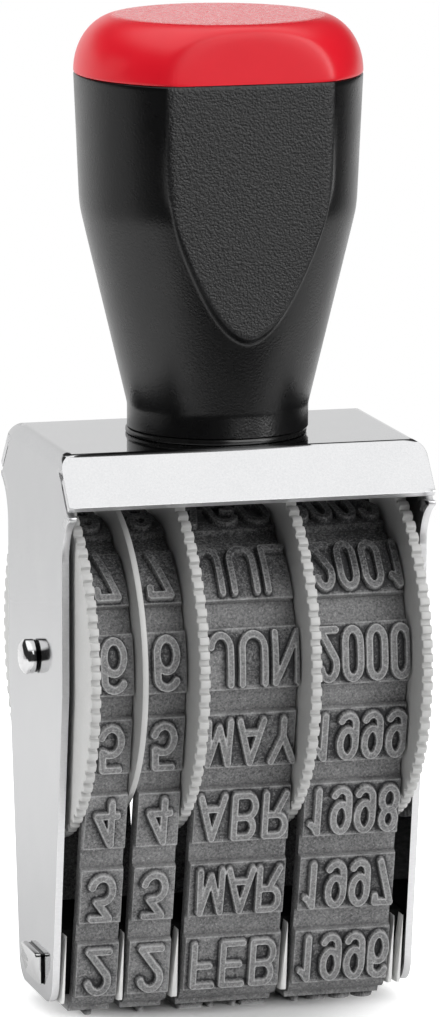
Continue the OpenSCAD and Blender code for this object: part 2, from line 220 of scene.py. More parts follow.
def weld(obj, sharp=None):
    """Merges doubled points, closes poles, turns the faces outwards and shades smoothly up to the angle sharp."""
    bm = bmesh.new()
    bm.from_mesh(obj.data)
    bmesh.ops.remove_doubles(bm, verts=bm.verts, dist=2e-7)
    bmesh.ops.recalc_face_normals(bm, faces=bm.faces)
    bm.to_mesh(obj.data)
    bm.free()
    obj.data.polygons.foreach_set("use_smooth", np.ones(len(obj.data.polygons), dtype=bool))
    if sharp is not None:
        obj.data.set_sharp_from_angle(angle=math.radians(sharp))
    return obj


def shell(name, points, sharp, tone=None, closed=False):
    """A welded surface over a grid of points whose rows are rings; closed joins the last row to the first."""
    faces = lattice_faces(*points.shape[:2], ring_rows=closed, ring_cols=True)
    return weld(lay_mesh(name, points, faces, tone), sharp)


def xyz(x, y, z):
    """A grid of points from their coordinates, each stretched over the grid where it is smaller."""
    return np.stack(np.broadcast_arrays(x, y, z), -1)


def dress(obj, finish, slot, body, *nodes):
    """Gives a piece its finish, the body it rides on and the nodes it stands for; slot is not used."""
    obj.data.materials.clear()
    obj.data.materials.append(finish)
    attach(obj, body)
    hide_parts(*nodes)
    return obj


def ease(low, high, value):
    """0 below low, 1 above high, and a smooth rise between them."""
    t = np.clip((value - low) / (high - low), 0, 1)
    return t * t * (3 - 2 * t)


def soft_min(a, b, k):
    """The smaller of two values, with the corner between them rounded over about k."""
    return -k * np.logaddexp(-a / k, -b / k)


def smoothed(values, width):
    """Values averaged along their second axis, with weights that fall off as a bell curve of that many grid steps."""
    reach = 3 * width
    steps = np.arange(-reach, reach + 1)
    weights = np.exp(-((steps / width) ** 2) / 2)
    padded = np.pad(values, ((0, 0), (reach, reach)), mode="edge")
    count = values.shape[1]
    return sum(w * padded[:, k:k + count] for k, w in enumerate(weights / weights.sum()))


def half_chord(radius, off):
    """Half the chord of a circle at a distance off from its middle; 0 outside the circle."""
    return np.sqrt(np.maximum(radius**2 - off**2, 0))


# Materials
class Wires:
    """Adds nodes to one node tree and links them."""

    def __init__(self, tree):
        self.tree = tree

    def node(self, kind, sockets=None, **settings):
        """A new node with its settings, and with sockets linked or set by name or number."""
        n = self.tree.nodes.new(kind)
        for key, value in settings.items():
            setattr(n, key, value)
        for key, value in (sockets or {}).items():
            self.put(n.inputs[key], value)
        return n

    def put(self, target, value):
        """Links a socket into another, or sets a plain number or colour on it."""
        if isinstance(value, bpy.types.NodeSocket):
            self.tree.links.new(value, target)
        else:
            target.default_value = value

    def combine(self, kind, a, b):
        return self.node("ShaderNodeMath", {0: a, 1: b}, operation=kind).outputs[0]

    def plus(self, a, b):
        return self.combine("ADD", a, b)

    def minus(self, a, b):
        return self.combine("SUBTRACT", a, b)

    def times(self, a, b):
        return self.combine("MULTIPLY", a, b)

    def larger(self, a, b):
        return self.combine("MAXIMUM", a, b)

    def spread(self, value, low, high, to_low, to_high, curve="LINEAR"):
        """Carries the range low..high on to to_low..to_high, clamped."""
        sockets = {"Value": value, "From Min": low, "From Max": high, "To Min": to_low, "To Max": to_high}
        return self.node("ShaderNodeMapRange", sockets, clamp=True, interpolation_type=curve).outputs["Result"]

    def rise(self, value, low, high, top):
        """0 below low, top above high, and a smooth rise between them."""
        return self.spread(value, low, high, 0.0, top, "SMOOTHSTEP")

    def either(self, share, a, b):
        """Shader a where share is 0, b where it is 1."""
        return self.node("ShaderNodeMixShader", {0: share, 1: a.outputs[0], 2: b.outputs[0]}).outputs[0]


class Finish(Wires):
    """A node material with the pattern nodes that the finishes below share."""

    def __init__(self, name, **sockets):
        self.mat = bpy.data.materials.new(name)
        self.mat.use_nodes = True
        super().__init__(self.mat.node_tree)
        self.shader = self.tree.nodes["Principled BSDF"]
        self.place = self.node("ShaderNodeTexCoord").outputs["Object"]
        for socket, value in sockets.items():
            self.shader.inputs[socket.replace("_", " ")].default_value = value

    def noise(self, scale, detail=3.0, rough=0.5, stretch=(1, 1, 1)):
        """Cloudy noise from 0 to 1; scale is in cells per metre."""
        place = self.node("ShaderNodeMapping", {"Vector": self.place, "Scale": stretch}).outputs[0]
        sockets = {"Vector": place, "Scale": scale, "Detail": detail, "Roughness": rough}
        return self.node("ShaderNodeTexNoise", sockets).outputs["Fac"]

    def pebbles(self, scale):
        """Distance to the nearest cell centre, for a grain of rounded cells."""
        sockets = {"Vector": self.place, "Scale": scale, "Smoothness": 0.6}
        return self.node("ShaderNodeTexVoronoi", sockets, feature="SMOOTH_F1").outputs["Distance"]

    def tint(self, share, a, b):
        """Colour a where share is 0, b where it is 1."""
        a, b = ((*k, 1) if isinstance(k, tuple) else k for k in (a, b))
        return self.node("ShaderNodeMix", {"Factor": share, "A": a, "B": b}, data_type="RGBA").outputs["Result"]

    def colour(self, value):
        self.put(self.shader.inputs["Base Color"], value)

    def roughness(self, value):
        self.put(self.shader.inputs["Roughness"], value)

    def gloss(self, value):
        self.put(self.shader.inputs["Specular IOR Level"], value)

    def tone(self):
        """The tone that a piece's points carry, from 0 to 1."""
        return self.node("ShaderNodeAttribute", attribute_name="tone").outputs["Fac"]

    def bump(self, height, strength, depth_mm):
        sockets = {"Strength": strength, "Distance": depth_mm * MM, "Height": height}
        self.put(self.shader.inputs["Normal"], self.node("ShaderNodeBump", sockets).outputs[0])

    def height(self):
        """Object height in metres."""
        return self.node("ShaderNodeSeparateXYZ", {0: self.place}).outputs["Z"]


def bright_nickel():
    """Polished nickel plate: faint clouds in the tone and a very fine speckle."""
    f = Finish("bright_nickel", Metallic=1.0, Specular_Tint=(0.84, 0.84, 0.84, 1))
    cloud = f.noise(260, 4)
    grain = f.noise(6000, 2, 0.7)
    shade = f.plus(f.times(cloud, 0.5), f.spread(grain, 0.3, 0.7, 0.0, 0.5))
    f.colour(f.tint(shade, (0.54, 0.545, 0.555), (0.64, 0.64, 0.645)))
    f.roughness(f.spread(grain, 0.3, 0.7, 0.05, 0.11))
    f.bump(grain, 0.04, 0.01)
    return f.mat


def cut_edge():
    """Sheared edge of the sheet: dull, with short scratches across its thickness."""
    f = Finish("cut_edge", Metallic=1.0)
    lines = f.noise(2600, 3, 0.6, (1, 1, 3))
    f.colour(f.tint(lines, (0.64, 0.64, 0.65), (0.82, 0.82, 0.825)))
    f.roughness(f.spread(lines, 0.3, 0.7, 0.34, 0.48))
    f.bump(lines, 0.1, 0.02)
    return f.mat


def turned_steel(name, tone):
    """Plain bright steel with fine lines from turning, painted black as contact shadow where the piece's tone says so.
    """
    f = Finish(name, Metallic=1.0)
    lines = f.noise(900, 3, 0.6, (14, 1, 1))
    plain = f.tint(lines, (tone * 0.92,) * 3, (tone, tone, tone * 1.01))
    f.colour(f.tint(f.tone(), plain, (0.006, 0.006, 0.006)))
    f.roughness(f.spread(lines, 0.3, 0.7, 0.08, 0.16))
    f.bump(lines, 0.06, 0.01)
    return f.mat


def grained_black():
    """Black moulded plastic: satin on the round sides, with a fine leather grain on the flat panel and a dull edge
    round the panel's lower part."""
    f = Finish("grained_black")
    panel = f.tone()
    cloud = f.noise(320, 3)
    grain = f.plus(f.pebbles(4800), f.noise(7600, 2, 0.6))
    side_colour = f.tint(cloud, (0.0018, 0.0018, 0.0020), (0.0028, 0.0028, 0.0030))
    f.colour(f.tint(panel, side_colour, (0.005, 0.005, 0.0054)))
    side_rough = f.spread(cloud, 0.3, 0.7, 0.25, 0.31)
    panel_rough = f.spread(grain, 0.5, 1.3, 0.34, 0.5)
    f.roughness(f.spread(panel, 0, 1, side_rough, panel_rough))
    f.bump(f.times(grain, f.spread(panel, 0, 1, 0.2, 1.0)), 0.75, 0.055)
    crease = f.times(panel, f.minus(1.0, panel))
    below_knee = f.spread(f.height(), (KNEE_Z - 1) * MM, (KNEE_Z + 1.5) * MM, 1.0, 0.0)
    f.gloss(f.spread(f.times(crease, below_knee), 0.02, 0.2, 0.5, 0.08))
    return f.mat


def smooth_black():
    """Polished black plastic for the ring under the handle."""
    f = Finish("smooth_black")
    cloud = f.noise(900, 3)
    f.colour(f.tint(cloud, (0.003, 0.003, 0.003), (0.006, 0.006, 0.006)))
    f.roughness(f.spread(cloud, 0.3, 0.7, 0.2, 0.3))
    f.bump(f.noise(4200, 2), 0.06, 0.02)
    return f.mat


def cap_red():
    """Red moulded plastic, satin on the sides, duller on the flat front and grained on the flat top."""
    f = Finish("cap_red")
    cloud = f.noise(420, 3)
    f.colour(f.tint(cloud, (0.66, 0.007, 0.018), (0.72, 0.011, 0.024)))
    f.gloss(f.spread(f.tone(), 0, 1, 0.5, 0.26))
    top_z = SEAM_Z + CAP_H
    top = f.spread(f.height(), (top_z - 0.12) * MM, (top_z - 0.03) * MM, 0.0, 1.0)
    grain = f.plus(f.pebbles(3000), f.noise(6000, 2, 0.6))
    f.roughness(f.spread(top, 0, 1, 0.32, f.spread(grain, 0.5, 1.3, 0.14, 0.26)))
    f.bump(f.times(grain, f.spread(top, 0, 1, 0.05, 0.7)), 0.4, 0.05)
    return f.mat


def pale_plastic(name, tone):
    """Pale moulded plastic with a little dust in its tone and a fine matt grain."""
    f = Finish(name)
    cloud = f.noise(380, 4, 0.6)
    speck = f.noise(5200, 2)
    dusty = (tone * 0.93, tone * 0.93, tone * 0.915)
    f.colour(f.tint(f.spread(cloud, 0.3, 0.7, 0, 1), dusty, (tone, tone, tone * 0.99)))
    f.roughness(f.spread(speck, 0.3, 0.7, 0.38, 0.52))
    f.bump(speck, 0.12, 0.02)
    return f.mat


def shade_black():
    """Near-black, dull colour for the block inside the bands, standing in for the shade between them, with a little
    dust.
    """
    f = Finish("shade_black", Specular_IOR_Level=0.08)
    dust = f.noise(2400, 3)
    f.colour(f.tint(dust, (0.002, 0.002, 0.002), (0.006, 0.006, 0.006)))
    f.roughness(f.spread(dust, 0.3, 0.7, 0.75, 0.95))
    f.bump(dust, 0.1, 0.02)
    return f.mat


def type_rubber():
    """Grey moulded rubber, dusty and matt; its tone carries painted highlights along the edges of the type and pads,
    and painted shade down in the hollows, between strokes and under the lip.
    """
    f = Finish("type_rubber", Specular_IOR_Level=0.35)
    dust = f.noise(4600, 3, 0.7)
    cloud = f.noise(240, 3)
    shade = f.plus(f.tone(), f.spread(dust, 0.3, 0.72, -0.24, 0.26))
    shade = f.plus(shade, f.spread(f.noise(6400, 1), 0.6, 0.74, 0.0, 0.3))
    shade = f.plus(shade, f.spread(cloud, 0.3, 0.7, -0.08, 0.08))
    f.colour(f.tint(f.spread(shade, 0, 1, 0, 1), (0.03, 0.03, 0.032), (0.42, 0.42, 0.42)))
    f.roughness(f.spread(dust, 0.3, 0.7, 0.62, 0.85))
    f.bump(dust, 0.3, 0.05)
    return f.mat


# Bent sheet frame
def lip_line(z):
    """Distance from the middle to the outside of a lip's slope at height z."""
    return WEB_D / 2 + LIP_OUT * (WEB_Z - z) / LIP_DROP


def frame_half_depth(z):
    """Half depth of the frame at height z, from the foot up: a round foot corner, a straight taper, an upright
    cheek, a hollow flare, a short upright end, the slope of the lip and the round bend into the flat top."""
    bend_cut = LIP_BEND_R * math.tan(LIP_SLOPE / 2)
    bend_z = WEB_Z - LIP_BEND_R
    taper_run = TAPER_Z - CHEEK_LIFT
    taper_out = (CHEEK_D - CHEEK_FOOT_D) / 2
    foot_a = math.atan2(taper_run, taper_out)
    foot_y = CHEEK_FOOT_D / 2 - FOOT_R / math.tan((math.pi - foot_a) / 2)
    foot_z = CHEEK_LIFT + FOOT_R
    tip_y = WEB_D / 2 + LIP_OUT
    flare_y = CHEEK_D / 2 + FLARE_R
    steps = [
        (z < foot_z - FOOT_R * math.cos(foot_a), foot_y + half_chord(FOOT_R, z - foot_z)),
        (z < TAPER_Z, CHEEK_FOOT_D / 2 + taper_out * (z - CHEEK_LIFT) / taper_run),
        (z < FLARE_Z, np.full_like(z, CHEEK_D / 2)),
        (z < FLARE_Z + half_chord(FLARE_R, flare_y - tip_y), flare_y - half_chord(FLARE_R, z - FLARE_Z)),
        (z < TIP_Z, np.full_like(z, tip_y)),
        (z < bend_z + LIP_BEND_R * math.cos(LIP_SLOPE), lip_line(z)),
    ]
    bend = WEB_D / 2 - bend_cut + half_chord(LIP_BEND_R, z - bend_z)
    return np.select(*zip(*steps), bend)


def cheek_half_depth(z, slit):
    """Half depth of a cheek: that of the frame, and between the bend and the lip's lower edge no more than the lip's
    slope less its thickness and the slit behind it."""
    behind = lip_line(z) - (SHEET + slit) / math.sin(LIP_SLOPE)
    beside_lip = (z < WEB_Z - BEND_R - 0.01) & (z > LIP_BACK_Z)
    whole = frame_half_depth(z)
    return np.where(beside_lip, np.minimum(whole, behind), whole)


def bent_sheet():
    """Outside skin of the frame, thickened inwards. The cheeks, bends and flat top are one strip: a path up one
    side, over and down the other, times a share of the half depth at that height. Each lip is a flap whose rows
    follow the frame's outline and are as wide as the strip's bend, down to its straight lower edge."""
    half_w = OUTER_W / 2
    bend_z = WEB_Z - BEND_R
    corner_z = TIP_Z - 1.13
    quarter = math.pi / 2
    turn = np.linspace(0, quarter, 15)
    # Rows up a cheek: the foot's corner, the taper, the upright, the flare, its corner and the slope behind the lip
    cheek_z = np.concatenate(
        [CHEEK_LIFT + (FOOT_R - 0.27) * (1 - np.cos(np.linspace(0, quarter, 11))),
         np.linspace(5, TAPER_Z, 12),
         np.linspace(TAPER_Z, FLARE_Z, 6)[1:],
         FLARE_Z + (corner_z - FLARE_Z) * np.sin(np.linspace(0, quarter, 14))[1:],
         np.linspace(corner_z, LIP_BACK_Z, 4)[1:],
         np.linspace(LIP_BACK_Z + 0.02, bend_z - 0.2, 6),
         [bend_z]]
    )
    across = np.linspace(-1, 1, 33)
    web_x = across[1:-1] * (half_w - BEND_R)
    bend_x = half_w - BEND_R + BEND_R * np.cos(turn)
    bend_rows = bend_z + BEND_R * np.sin(turn)
    side_x = np.concatenate([np.full(len(cheek_z), half_w), bend_x[1:]])
    side_z = np.concatenate([cheek_z, bend_rows[1:]])
    path_x = np.concatenate([-side_x, web_x, side_x[::-1]])
    path_z = np.concatenate([side_z, np.full(len(web_x), WEB_Z), side_z[::-1]])
    share = np.linspace(-1, 1, 13)
    front, back = (cheek_half_depth(path_z, slit)[:, None] for slit in (SEAM_W, BACK_SEAM_W))
    depth = np.where(share < 0, front, back)
    strip = xyz(path_x[:, None], share * depth, path_z[:, None])
    parts = [(strip.reshape(-1, 3), lattice_faces(len(path_x), len(share)))]
    lip_z = np.concatenate([bend_rows[::-1], np.linspace(bend_z, LIP_TIP_Z, 7)[1:]])
    wide = np.concatenate([bend_x[::-1], np.full(6, half_w)])
    for side in (-1, 1):
        y = side * frame_half_depth(lip_z)[:, None]
        flap = xyz(across * wide[:, None], y, lip_z[:, None])
        parts.append((flap.reshape(-1, 3), lattice_faces(len(lip_z), len(across))))
    starts = np.cumsum([0] + [len(p) for p, _ in parts[:-1]])
    points = np.concatenate([p for p, _ in parts])
    faces = np.concatenate([q + s for (_, q), s in zip(parts, starts)])
    obj = weld(lay_mesh("sheet_frame", points, faces))
    skin_up = sum(p.normal.z * p.area for p in obj.data.polygons)
    if skin_up < 0:
        obj.data.flip_normals()
    wall = obj.modifiers.new("wall", "SOLIDIFY")
    wall.thickness = SHEET_SEEN * MM
    wall.material_offset_rim = 1
    wall.offset = -1
    wall.use_even_offset = True
    edge = obj.modifiers.new("edge", "BEVEL")
    edge.width = EDGE_BEVEL * MM
    edge.segments = 2
    edge.limit_method = "ANGLE"
    edge.angle_limit = math.radians(50)
    obj.modifiers.new("flats", "WEIGHTED_NORMAL").keep_sharp = True
    return obj


# Handle
def grip_radius(z):
    """Radius of the round handle at height z: neck, taper and grip lines with softened corners."""
    taper = NECK_R + (KNEE_R - NECK_R) * (z - SHOULDER_Z) / (KNEE_Z - SHOULDER_Z)
    grip = KNEE_R + (GRIP_R - KNEE_R) * (z - KNEE_Z) / (SEAM_Z - KNEE_Z)
    return -soft_min(-soft_min(taper, grip, 0.07), -np.full_like(z, NECK_R), 0.02)


def shield_distance(x, z):
    """Distance outside the panel's outline, negative inside: the outline is a round tip that widens as a power
    of the height and then runs straight up."""
    t = np.linspace(0, 1.2, 72)
    side_x = np.concatenate([soft_min(PANEL_W * t**1.1, np.full_like(t, PANEL_W), 0.2), [PANEL_W]])
    side_z = np.concatenate([PANEL_TIP_Z + (PANEL_FULL_Z - PANEL_TIP_Z) * t * t, [SEAM_Z + 20]])
    a = np.stack([side_x[:-1], side_z[:-1]], -1)
    d = np.stack([side_x[1:], side_z[1:]], -1) - a
    px, pz = np.abs(x)[..., None] - a[:, 0], z[..., None] - a[:, 1]
    along = np.clip((px * d[:, 0] + pz * d[:, 1]) / (d**2).sum(1), 0, 1)
    far = np.sqrt(((px - along * d[:, 0]) ** 2 + (pz - along * d[:, 1]) ** 2).min(-1))
    width = np.interp(z, side_z, side_x, left=-1)
    return np.where(np.abs(x) < width, -far, far)


def round_angles():
    """Angles round the handle from the front, closer together over the front panel."""
    front = np.radians(np.linspace(-66, 66, FRONT_N))
    back = np.radians(np.linspace(66, 294, 97))[1:-1]
    return np.concatenate([front, back])


def panel_radius(angle):
    """Radius of the panel's plane at an angle from the front; beyond the front it stays outside the handle."""
    return PANEL_Y / np.cos(np.clip(angle, -PANEL_REACH, PANEL_REACH))


def plain_rings(pairs, count):
    """Radii and heights of rings of count points, from (radius, height) pairs."""
    return (np.repeat(np.array(values)[:, None], count, 1) for values in zip(*pairs))


def handle_points(radius, angle, height):
    """Points at a radius, height and angle from the front, on the handle as it stands in its frame."""
    a = angle + HANDLE_TURN
    return xyz(HANDLE_OFF + radius * np.sin(a), -radius * np.cos(a), height)


def handle_grip():
    """Closed shell: a ring of heights and radii times the angle. On the front the radius goes over to that of
    the flat panel inside the shield outline, through a soft sloping edge that is rounded off above the knee. The
    tone tells the panel from the rest."""
    angle = round_angles()
    outer_z = np.concatenate(
        [np.linspace(COLLAR_TOP + 0.1, SHOULDER_Z - 0.5, 5),
         np.linspace(SHOULDER_Z - 0.3, SHOULDER_Z + 0.6, 16),
         np.linspace(SHOULDER_Z + 1.2, PANEL_TIP_Z - 2, 10),
         np.linspace(PANEL_TIP_Z - 1.8, PANEL_FULL_Z + 1, 74),
         np.linspace(PANEL_FULL_Z + 1.4, SEAM_Z - SEAM_LIP, 24)]
    )
    flat_r = panel_radius(angle)
    x = flat_r * np.sin(np.clip(angle, -PANEL_REACH, PANEL_REACH))
    x, z = np.broadcast_arrays(x, outer_z[:, None])
    round_r = grip_radius(outer_z)[:, None]
    apron = 0.3 + 0.4 * (1 - ease(KNEE_Z - 3, KNEE_Z + 1.5, outer_z))[:, None]
    share = 1 - ease(0, 1, shield_distance(x, z) / apron)
    skin_r = round_r + (flat_r - round_r) * share
    above_knee = ease(KNEE_Z - 0.5, KNEE_Z + 2.5, outer_z)[:, None]
    front_r = skin_r[:, :FRONT_N]
    front_r += (smoothed(front_r, 3) - front_r) * above_knee
    count = len(angle)
    hole_r, hole_z = plain_rings([(SCREW_HOLE_R, COLLAR_TOP), (NECK_R - 0.12, COLLAR_TOP)], count)
    inside_r, inside_z = plain_rings(
        [(HOLLOW_R, SEAM_Z), (HOLLOW_R, KNEE_Z), (HOLLOW_FOOT_R, FLOOR_Z), (SCREW_HOLE_R, FLOOR_Z)], count
    )
    rim_r = skin_r[-1] - [[SEAM_STEP], [SEAM_LIP]]
    rim_z = np.repeat([[SEAM_Z - SEAM_STEP], [SEAM_Z]], count, 1)
    radius = np.concatenate([hole_r, skin_r, rim_r, inside_r])
    height = np.concatenate([hole_z, z, rim_z, inside_z])
    grained = np.concatenate([0 * hole_r, share, share[-1:], share[-1:], 0 * inside_r])
    return shell("handle_grip", handle_points(radius, angle, height), 48, grained, closed=True)


def handle_crown():
    """Cap: a quarter-ellipse shoulder up to a flat disc, cut by the panel's plane in front with a soft corner,
    and a plug below that sits inside the handle. The tone tells the flat front from the rest."""
    angle = round_angles()
    rise = np.linspace(0, math.pi / 2, 40)
    plug = [(0, SEAM_Z - PLUG_L), (HOLLOW_R, SEAM_Z - PLUG_L), (HOLLOW_R, SEAM_Z)]
    rim = [(GRIP_R - SEAM_LIP, SEAM_Z), (GRIP_R - SEAM_STEP, SEAM_Z + SEAM_STEP)]
    shoulder = np.stack(
        [CAP_TOP_R + (GRIP_R - CAP_TOP_R) * np.cos(rise), SEAM_Z + SEAM_LIP + (CAP_H - SEAM_LIP) * np.sin(rise)], -1
    )
    disc = [(r, SEAM_Z + CAP_H) for r in np.linspace(CAP_TOP_R, 0, 12)[1:]]
    ring_r, ring_z = np.concatenate([plug, rim, shoulder, disc]).T[..., None]
    edge = np.repeat([0, 1, 0], [len(plug), len(rim) + len(shoulder), len(disc)])[:, None]
    round_r, flat_r = np.broadcast_arrays(ring_r, panel_radius(angle))
    cut = np.minimum(soft_min(round_r, flat_r, 0.3), round_r)
    tone = ease(0.1, 0.5, (round_r - cut) * edge)
    radius = np.where(edge > 0, cut, round_r)
    return shell("handle_crown", handle_points(radius, angle, ring_z), 60, tone)


def turned(name, ring, axis, steps, closed, sharp=35, dark=()):
    """A ring of (place along the axis, radius) pairs turned once round the X or the Z axis; the pairs numbered in
    dark get a tone of 1, which turned_steel paints black as shadow."""
    along, radius = np.array(ring, dtype=float).T[..., None]
    tone = np.repeat(np.isin(np.arange(len(ring)), dark)[:, None], steps, 1)
    angle = np.linspace(0, 2 * math.pi, steps, endpoint=False)
    a, b = radius * np.cos(angle), radius * np.sin(angle)
    points = xyz(along, a, b + AXLE_Z) if axis == "X" else xyz(a, b, along)
    return shell(name, points, sharp, tone, closed)


def neck_collar():
    """Thin ring with rounded edges under the handle."""
    low, high, r = WEB_Z, COLLAR_TOP, NECK_R
    return turned(
        "neck_collar",
        [(low, SCREW_HOLE_R), (low, r - 0.16), (low + 0.06, r - 0.04), (low + 0.14, r), (high - 0.14, r),
         (high - 0.04, r - 0.04), (high, r - 0.14), (high, SCREW_HOLE_R)],
        "Z", 128, True,
    )


def axle_pin():
    """Turned pin with bevelled, slightly domed ends and a fine groove where it leaves each cheek, painted black as
    contact shadow.
    """
    face = OUTER_W / 2
    half = face + AXLE_OUT
    end = [
        (half, 0.0), (half - 0.02, 0.55), (half - 0.07, 1.0), (half - 0.12, 1.12), (half - 0.36, 1.44),
        (half - 0.46, AXLE_R),
        (face + 0.22, AXLE_R), (face + 0.15, AXLE_R - 0.1), (face + 0.02, AXLE_R - 0.1), (face - 0.05, AXLE_R),
    ]
    count = len(end)
    # Painted shadow: the rings of the groove get a tone of 1, which turned_steel paints black
    groove = [7, 8, 2 * count - 8, 2 * count - 7]
    ring = [(-x, r) for x, r in end] + [(0.0, AXLE_R)] + end[::-1]
    return turned("axle_pin", ring, "X", 64, False, dark=groove)


# Wheels
def thumb_wheel(name, rim_x, drum_x, drum_w, rim_t=RIM_T):
    """One moulding round the axle: a ring of places across and radii times the angle. The rim's outer points
    follow a rounded square wave for the teeth, the drum's outer points a row of round flutes."""
    per_tooth = 12
    angle = np.linspace(0, 2 * math.pi, KNURL_N * per_tooth, endpoint=False)
    crest = np.cos(KNURL_N * angle)
    wave = ease(-0.62, 0.12, crest) * 0.92 + 0.08 * (0.5 + 0.5 * crest)
    tooth = WHEEL_R - KNURL_SEEN * (1 - wave)
    step = 2 * math.pi / FLUTE_N
    off = (angle + step / 2) % step - step / 2
    drum = DRUM_R - np.maximum(half_chord(FLUTE_R, off * DRUM_R) - FLUTE_R / 2, 0)
    right = rim_x > drum_x
    face_in, face_out = (rim_x, rim_x + rim_t) if right else (rim_x + rim_t, rim_x)
    inward = 1 if right else -1
    drum_end = drum_x if right else drum_x + drum_w
    bevel = 0.14
    first = bevel * 0.3
    bore, hub, web, foot = (np.full_like(angle, r) for r in (BORE_R, HUB_R, 13.0, WHEEL_R - KNURL_DEPTH - 0.55))
    ring = [
        (drum_end, bore), (drum_end, hub), (drum_end, drum - 0.15), (drum_end + inward * 0.15, drum),
        (face_in - inward * 0.05, drum), (face_in, np.full_like(angle, DRUM_R + 0.2)), (face_in, web), (face_in, foot),
        (face_in, tooth - bevel), (face_in + inward * first, tooth - first), (face_in + inward * bevel, tooth),
        (face_out - inward * bevel, tooth), (face_out - inward * first, tooth - first), (face_out, tooth - bevel),
        (face_out, foot), (face_out, web), (face_out, hub), (face_out, bore),
    ]
    across, radius = (np.array(values) for values in zip(*ring))
    points = xyz(across[:, None], radius * np.cos(angle), AXLE_Z + radius * np.sin(angle))
    return shell(name, points, 40, closed=True)


def spacer_plate():
    """Thin smooth disc with a rounded rim."""
    x0, x1, cut = DISC_X, DISC_X + DISC_T, 0.12
    return turned(
        "spacer_plate",
        [(x0, BORE_R), (x0, HUB_R), (x0, DISC_R - cut), (x0 + cut * 0.3, DISC_R - cut * 0.3), (x0 + cut, DISC_R),
         (x1 - cut, DISC_R), (x1 - cut * 0.3, DISC_R - cut * 0.3), (x1, DISC_R - cut), (x1, HUB_R), (x1, BORE_R)],
        "X", 240, True,
    )


# Type
def bow(cx, cy, rx, ry, start, end, n=14):
    """Points on an ellipse from one angle to another, in degrees."""
    a = np.radians(np.linspace(start, end, n))
    return np.stack([cx + rx * np.cos(a), cy + ry * np.sin(a)], -1)


def line(*points):
    return np.array(points, dtype=float)


def chain(*pieces):
    return np.concatenate(pieces)


# Pen strokes of each character in a box one wide and one high, the foot at 0
STROKES = {
    "0": [chain(bow(0.5, 0.72, 0.5, 0.28, 0, 180), bow(0.5, 0.28, 0.5, 0.28, 180, 360), line((1, 0.72)))],
    "1": [line((0.12, 0.8), (0.3, 0.84), (0.55, 1), (0.55, 0))],
    "2": [chain(bow(0.5, 0.72, 0.5, 0.28, 165, -25), line((0, 0), (1, 0)))],
    "3": [chain(line((0, 1), (0.86, 1), (0.24, 0.6)), bow(0.47, 0.3, 0.53, 0.3, 95, -165))],
    "4": [line((0.72, 0), (0.72, 1), (0, 0.3), (1, 0.3))],
    "5": [chain(line((0.92, 1), (0.12, 1), (0.06, 0.56)), bow(0.47, 0.32, 0.52, 0.32, 125, -160))],
    "6": [
        chain(bow(0.52, 0.78, 0.5, 0.22, 25, 165), line((0, 0.6), (0, 0.33)), bow(0.5, 0.33, 0.5, 0.33, 180, 540, 28))
    ],
    "7": [line((0, 0.84), (0, 1), (1, 1), (0.26, 0))],
    "8": [bow(0.5, 0.76, 0.44, 0.24, 0, 360, 26), bow(0.5, 0.27, 0.5, 0.27, 0, 360, 26)],
    "9": [
        chain(bow(0.48, 0.22, 0.5, 0.22, 205, 345), line((1, 0.4), (1, 0.67)), bow(0.5, 0.67, 0.5, 0.33, 0, 360, 28))
    ],
    "A": [line((0, 0), (0.5, 1), (1, 0)), line((0.17, 0.29), (0.83, 0.29))],
    "B": [
        chain(line((0, 0.53), (0, 1), (0.5, 1)), bow(0.55, 0.765, 0.37, 0.235, 90, -90), line((0, 0.53))),
        chain(line((0, 0.53), (0.55, 0.53)), bow(0.58, 0.265, 0.42, 0.265, 90, -90), line((0, 0), (0, 0.53))),
    ],
    "C": [chain(bow(0.5, 0.7, 0.5, 0.3, 15, 180), bow(0.5, 0.3, 0.5, 0.3, 180, 345))],
    "D": [
        chain(line((0, 0), (0, 1), (0.45, 1)), bow(0.45, 0.65, 0.55, 0.35, 90, 0),
              bow(0.45, 0.35, 0.55, 0.35, 0, -90), line((0, 0)))
    ],
    "E": [line((1, 1), (0, 1), (0, 0), (1, 0)), line((0, 0.52), (0.85, 0.52))],
    "F": [line((1, 1), (0, 1), (0, 0)), line((0, 0.52), (0.85, 0.52))],
    "G": [chain(bow(0.5, 0.7, 0.5, 0.3, 20, 180), bow(0.5, 0.3, 0.5, 0.3, 180, 345), line((1, 0.44), (0.58, 0.44)))],
    "I": [line((0.5, 0), (0.5, 1))],
    "J": [chain(line((0.95, 1), (0.95, 0.3)), bow(0.5, 0.28, 0.45, 0.28, 0, -170))],
    "L": [line((0, 1), (0, 0), (0.95, 0))],
    "M": [line((0, 0), (0.04, 1), (0.5, 0.12), (0.96, 1), (1, 0))],
    "N": [line((0, 0), (0, 1), (1, 0), (1, 1))],
    "O": [chain(bow(0.5, 0.7, 0.5, 0.3, 0, 180), bow(0.5, 0.3, 0.5, 0.3, 180, 360), line((1, 0.7)))],
    "P": [chain(line((0, 0), (0, 1), (0.55, 1)), bow(0.58, 0.74, 0.42, 0.26, 90, -90), line((0, 0.48)))],
    "R": [
        chain(line((0, 0), (0, 1), (0.55, 1)), bow(0.58, 0.75, 0.42, 0.25, 90, -90), line((0, 0.5))),
        line((0.5, 0.5), (1, 0)),
    ],
    "S": [chain(bow(0.5, 0.75, 0.47, 0.25, 25, 250), bow(0.5, 0.26, 0.5, 0.26, 70, -160))],
    "T": [line((0, 1), (1, 1)), line((0.5, 1), (0.5, 0))],
    "U": [chain(line((0, 1), (0, 0.3)), bow(0.5, 0.3, 0.5, 0.3, 180, 360), line((1, 1)))],
    "V": [line((0, 1), (0.5, 0), (1, 1))],
    "Y": [line((0, 1), (0.5, 0.4), (1, 1)), line((0.5, 0.4), (0.5, 0))],
}

# Farther than any grid point lies from a stroke
FAR = 9.0
# Width of a letter as a share of its band's common width
SIGN_W = {"A": 1.06, "B": 0.95, "E": 0.92, "F": 0.88, "I": 0.34, "J": 0.98, "L": 1.0, "N": 1.04, "R": 0.93, "U": 1.02}
